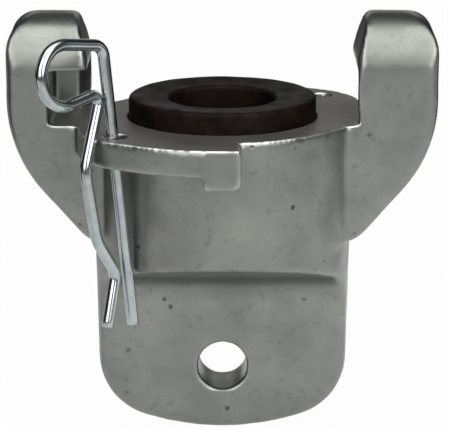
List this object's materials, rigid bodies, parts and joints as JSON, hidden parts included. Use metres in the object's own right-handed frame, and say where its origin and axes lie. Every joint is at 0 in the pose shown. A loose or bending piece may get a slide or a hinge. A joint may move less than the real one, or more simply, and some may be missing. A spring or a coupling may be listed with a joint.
{
  "type": "claw coupling blank cap",
  "caption": "Cast closed-end head of a claw hose coupling with hooked lugs, locking flanges, a rubber sealing washer, a flat chain tongue and a wire safety clip.",
  "frame": {"origin": "centre of the head's ground top face, the plane where it meets its mate", "axes": "+Z out of the head towards the mating coupling; the claws stand on +X and -X; +Y along the chain hole through the tongue, which hangs along -Z"},
  "size_m": [0.0684, 0.0524, 0.0685],
  "materials": {
    "plated_casting": "satin",
    "black_rubber": "matte",
    "spring_wire": "bright"
  },
  "bodies": {
    "head": {"head_casting": "plated_casting", "sealing_washer": "black_rubber"},
    "clip": {"safety_clip": "spring_wire"}
  },
  "joints": [
    {"name": "clip_pull", "type": "slide", "parent": "head", "child": "clip", "axis": [-0.0958, 0, 0.9954], "range_m": [0, 0.033], "deforming": ["safety_clip"]}
  ]
}
